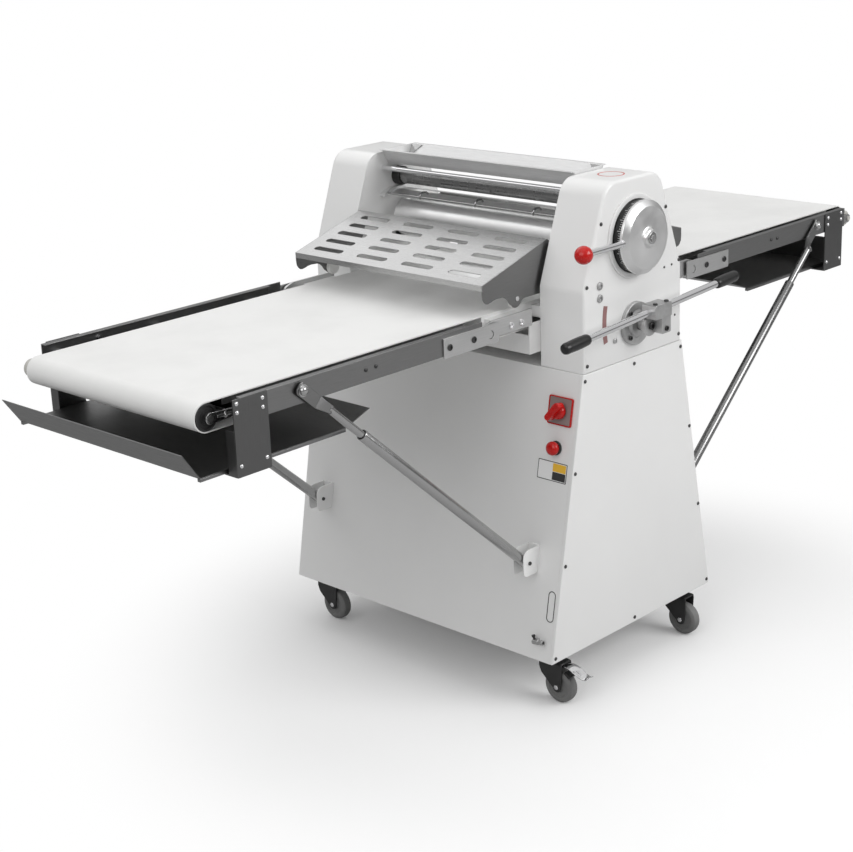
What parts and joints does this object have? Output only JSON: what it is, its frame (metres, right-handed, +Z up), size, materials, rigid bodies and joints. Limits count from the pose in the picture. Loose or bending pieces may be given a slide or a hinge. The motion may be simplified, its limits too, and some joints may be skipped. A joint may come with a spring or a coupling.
{
  "type": "dough sheeter",
  "caption": "Free-standing reversible dough sheeter on casters, with two folding belt tables, a roller head with guards, a thickness dial and a direction lever.",
  "frame": {"origin": "on the floor, under the middle of the bounding box", "axes": "+X along the belts towards the right table, +Y away from the operator, +Z up"},
  "size_m": [2.156, 0.8554, 1.102],
  "materials": {
    "painted_white": "smooth powder coat",
    "stainless": "brushed",
    "chrome": "polished",
    "aluminium": "turned, satin",
    "cast_metal": "as cast",
    "black_plastic": "matt",
    "red_plastic": "gloss",
    "belt_fabric": "coated conveyor fabric",
    "dark_steel": "dark paint",
    "grey_rubber": "matt"
  },
  "bodies": {
    "stand": {"cabinet_shell": "painted_white", "front_cover": "painted_white", "rear_cover": "painted_white", "motor": "dark_steel", "front_housing": "painted_white", "rear_housing": "painted_white", "front_side_frame": "painted_white", "rear_side_frame": "painted_white", "head_base": "painted_white", "flour_tray": "stainless", "tie_bar": "chrome", "cross_shaft": "chrome", "scale_ring": "black_plastic", "lever_flange": "cast_metal", "switch_plate": "aluminium", "left_hinge_bracket": "dark_steel", "right_hinge_bracket": "dark_steel", "left_belt_inner": "belt_fabric", "right_belt_inner": "belt_fabric"},
    "lower_roller": {"lower_roller": "chrome"},
    "dial": {"dial_disc": "aluminium", "dial_handle": "chrome", "dial_ball": "red_plastic"},
    "roller_carrier": {"upper_scraper": "stainless"},
    "upper_roller": {"upper_roller": "chrome"},
    "left_drive_drum": {"left_drive_drum": "aluminium"},
    "right_drive_drum": {"right_drive_drum": "aluminium"},
    "lever": {"lever_clamp": "cast_metal", "lever_rod": "chrome", "lever_grip_left": "black_plastic", "lever_grip_right": "black_plastic"},
    "switch_knob": {"switch_knob": "red_plastic"},
    "stop_button": {"stop_button": "red_plastic"},
    "left_table": {"left_table_frame": "stainless", "left_belt": "belt_fabric"},
    "left_end_roller": {"left_end_roller": "aluminium"},
    "left_catch_tray": {"left_catch_tray": "stainless"},
    "left_guard": {"left_guard": "stainless"},
    "left_front_strut_tube": {"left_front_strut_tube": "stainless"},
    "left_front_strut_rod": {"left_front_strut_rod": "stainless"},
    "left_rear_strut_tube": {"left_rear_strut_tube": "stainless"},
    "left_rear_strut_rod": {"left_rear_strut_rod": "stainless"},
    "right_table": {"right_table_frame": "stainless", "right_belt": "belt_fabric"},
    "right_end_roller": {"right_end_roller": "aluminium"},
    "right_catch_tray": {"right_catch_tray": "stainless"},
    "right_guard": {"right_guard": "stainless"},
    "right_front_strut_tube": {"right_front_strut_tube": "stainless"},
    "right_front_strut_rod": {"right_front_strut_rod": "stainless"},
    "right_rear_strut_tube": {"right_rear_strut_tube": "stainless"},
    "right_rear_strut_rod": {"right_rear_strut_rod": "stainless"},
    "front_left_caster": {"front_left_caster_fork": "dark_steel"},
    "front_left_caster_wheel": {"front_left_caster_wheel": "grey_rubber"},
    "front_right_caster": {"front_right_caster_fork": "dark_steel"},
    "front_right_caster_wheel": {"front_right_caster_wheel": "grey_rubber"},
    "rear_left_caster": {"rear_left_caster_fork": "dark_steel"},
    "rear_left_caster_wheel": {"rear_left_caster_wheel": "grey_rubber"},
    "rear_right_caster": {"rear_right_caster_fork": "dark_steel"},
    "rear_right_caster_wheel": {"rear_right_caster_wheel": "grey_rubber"},
    "brake_pedal": {"caster_brake_pedal": "stainless"}
  },
  "joints": [
    {"name": "lower_roller_spin", "type": "hinge", "parent": "stand", "child": "lower_roller", "pos_m": [0.024, 0.03475, 0.811], "axis": [0, 1, 0], "continuous": true},
    {"name": "dial_turn", "type": "hinge", "parent": "stand", "child": "dial", "pos_m": [0.024, -0.38755, 0.974], "axis": [0, 1, 0], "range_deg": [0, 180]},
    {"name": "roller_gap", "type": "slide", "parent": "stand", "child": "roller_carrier", "axis": [0, 0, 1], "range_m": [-0.0451, 0]},
    {"name": "upper_roller_spin", "type": "hinge", "parent": "roller_carrier", "child": "upper_roller", "pos_m": [0.024, 0.03475, 0.945], "axis": [0, 1, 0], "continuous": true},
    {"name": "left_drum_spin", "type": "hinge", "parent": "stand", "child": "left_drive_drum", "pos_m": [-0.071, 0.03475, 0.821], "axis": [0, 1, 0], "continuous": true},
    {"name": "right_drum_spin", "type": "hinge", "parent": "stand", "child": "right_drive_drum", "pos_m": [0.119, 0.03475, 0.821], "axis": [0, 1, 0], "continuous": true},
    {"name": "lever_tilt", "type": "hinge", "parent": "stand", "child": "lever", "pos_m": [0.024, -0.41025, 0.79], "axis": [0, 1, 0], "range_deg": [-15, 15]},
    {"name": "switch_turn", "type": "hinge", "parent": "stand", "child": "switch_knob", "pos_m": [-0.16505, -0.31125, 0.63697], "axis": [-0.9832, 0, 0.1823], "range_deg": [-90, 0]},
    {"name": "stop_press", "type": "slide", "parent": "stand", "child": "stop_button", "axis": [-0.9832, 0, 0.1823], "range_m": [-0.004, 0], "stiffness_N_per_m": 500},
    {"name": "left_fold", "type": "hinge", "parent": "stand", "child": "left_table", "pos_m": [-0.317, 0.03475, 0.825], "axis": [0, 1, 0], "range_deg": [0, 75]},
    {"name": "left_end_roller_spin", "type": "hinge", "parent": "left_table", "child": "left_end_roller", "pos_m": [-1.002, 0.03475, 0.821], "axis": [0, 1, 0], "continuous": true},
    {"name": "left_tray_slide", "type": "slide", "parent": "left_table", "child": "left_catch_tray", "axis": [-1, 0, 0], "range_m": [-0.1, 0.2]},
    {"name": "left_guard_lift", "type": "hinge", "parent": "stand", "child": "left_guard", "pos_m": [-0.098, 0.03475, 0.958], "axis": [0, 1, 0], "range_deg": [0, 70]},
    {"name": "left_front_tube_swing", "type": "hinge", "parent": "stand", "child": "left_front_strut_tube", "pos_m": [-0.248, -0.27775, 0.32272], "axis": [0, 1, 0], "range_deg": [0, 37.6]},
    {"name": "left_front_rod_swing", "type": "hinge", "parent": "left_table", "child": "left_front_strut_rod", "pos_m": [-0.82388, -0.27775, 0.836], "axis": [0, 1, 0], "range_deg": [-37.6, 0]},
    {"name": "left_rear_tube_swing", "type": "hinge", "parent": "stand", "child": "left_rear_strut_tube", "pos_m": [-0.248, 0.34725, 0.32272], "axis": [0, 1, 0], "range_deg": [0, 37.6]},
    {"name": "left_rear_rod_swing", "type": "hinge", "parent": "left_table", "child": "left_rear_strut_rod", "pos_m": [-0.82388, 0.34725, 0.836], "axis": [0, 1, 0], "range_deg": [-37.6, 0]},
    {"name": "right_fold", "type": "hinge", "parent": "stand", "child": "right_table", "pos_m": [0.365, 0.03475, 0.825], "axis": [0, -1, 0], "range_deg": [0, 75]},
    {"name": "right_end_roller_spin", "type": "hinge", "parent": "right_table", "child": "right_end_roller", "pos_m": [1.05, 0.03475, 0.821], "axis": [0, 1, 0], "continuous": true},
    {"name": "right_tray_slide", "type": "slide", "parent": "right_table", "child": "right_catch_tray", "axis": [1, 0, 0], "range_m": [0, 0.3]},
    {"name": "right_guard_lift", "type": "hinge", "parent": "stand", "child": "right_guard", "pos_m": [0.146, 0.03475, 0.958], "axis": [0, -1, 0], "range_deg": [0, 70]},
    {"name": "right_front_tube_swing", "type": "hinge", "parent": "stand", "child": "right_front_strut_tube", "pos_m": [0.296, -0.27775, 0.32272], "axis": [0, -1, 0], "range_deg": [0, 37.6]},
    {"name": "right_front_rod_swing", "type": "hinge", "parent": "right_table", "child": "right_front_strut_rod", "pos_m": [0.87188, -0.27775, 0.836], "axis": [0, -1, 0], "range_deg": [-37.6, 0]},
    {"name": "right_rear_tube_swing", "type": "hinge", "parent": "stand", "child": "right_rear_strut_tube", "pos_m": [0.296, 0.34725, 0.32272], "axis": [0, -1, 0], "range_deg": [0, 37.6]},
    {"name": "right_rear_rod_swing", "type": "hinge", "parent": "right_table", "child": "right_rear_strut_rod", "pos_m": [0.87188, 0.34725, 0.836], "axis": [0, -1, 0], "range_deg": [-37.6, 0]},
    {"name": "front_left_caster_swivel", "type": "hinge", "parent": "stand", "child": "front_left_caster", "pos_m": [-0.198, -0.31025, 0.0375], "axis": [0, 0, 1], "continuous": true},
    {"name": "front_left_caster_roll", "type": "hinge", "parent": "front_left_caster", "child": "front_left_caster_wheel", "pos_m": [-0.198, -0.33225, 0.0375], "axis": [1, 0, 0], "continuous": true},
    {"name": "front_right_caster_swivel", "type": "hinge", "parent": "stand", "child": "front_right_caster", "pos_m": [0.246, -0.31025, 0.0375], "axis": [0, 0, 1], "continuous": true},
    {"name": "front_right_caster_roll", "type": "hinge", "parent": "front_right_caster", "child": "front_right_caster_wheel", "pos_m": [0.246, -0.33225, 0.0375], "axis": [1, 0, 0], "continuous": true},
    {"name": "rear_left_caster_swivel", "type": "hinge", "parent": "stand", "child": "rear_left_caster", "pos_m": [-0.198, 0.37975, 0.0375], "axis": [0, 0, 1], "continuous": true},
    {"name": "rear_left_caster_roll", "type": "hinge", "parent": "rear_left_caster", "child": "rear_left_caster_wheel", "pos_m": [-0.198, 0.35775, 0.0375], "axis": [1, 0, 0], "continuous": true},
    {"name": "rear_right_caster_swivel", "type": "hinge", "parent": "stand", "child": "rear_right_caster", "pos_m": [0.246, 0.37975, 0.0375], "axis": [0, 0, 1], "continuous": true},
    {"name": "rear_right_caster_roll", "type": "hinge", "parent": "rear_right_caster", "child": "rear_right_caster_wheel", "pos_m": [0.246, 0.35775, 0.0375], "axis": [1, 0, 0], "continuous": true},
    {"name": "brake_pedal_tilt", "type": "hinge", "parent": "front_left_caster", "child": "brake_pedal", "pos_m": [-0.198, -0.35025, 0.0905], "axis": [1, 0, 0], "range_deg": [0, 8]}
  ],
  "couplings": [
    {"joint": "upper_roller_spin", "follows": "lower_roller_spin", "ratio": -1},
    {"joint": "roller_gap", "follows": "dial_turn", "m_per_rad": -0.014324},
    {"joint": "left_drum_spin", "follows": "lower_roller_spin", "ratio": 1.76},
    {"joint": "right_drum_spin", "follows": "lower_roller_spin", "ratio": 1.76},
    {"joint": "left_end_roller_spin", "follows": "lower_roller_spin", "ratio": 1.76},
    {"joint": "left_front_tube_swing", "follows": "left_fold", "ratio": 0.5},
    {"joint": "left_front_rod_swing", "follows": "left_fold", "ratio": -0.5},
    {"joint": "left_rear_tube_swing", "follows": "left_fold", "ratio": 0.5},
    {"joint": "left_rear_rod_swing", "follows": "left_fold", "ratio": -0.5},
    {"joint": "right_end_roller_spin", "follows": "lower_roller_spin", "ratio": 1.76},
    {"joint": "right_front_tube_swing", "follows": "right_fold", "ratio": 0.5},
    {"joint": "right_front_rod_swing", "follows": "right_fold", "ratio": -0.5},
    {"joint": "right_rear_tube_swing", "follows": "right_fold", "ratio": 0.5},
    {"joint": "right_rear_rod_swing", "follows": "right_fold", "ratio": -0.5}
  ]
}
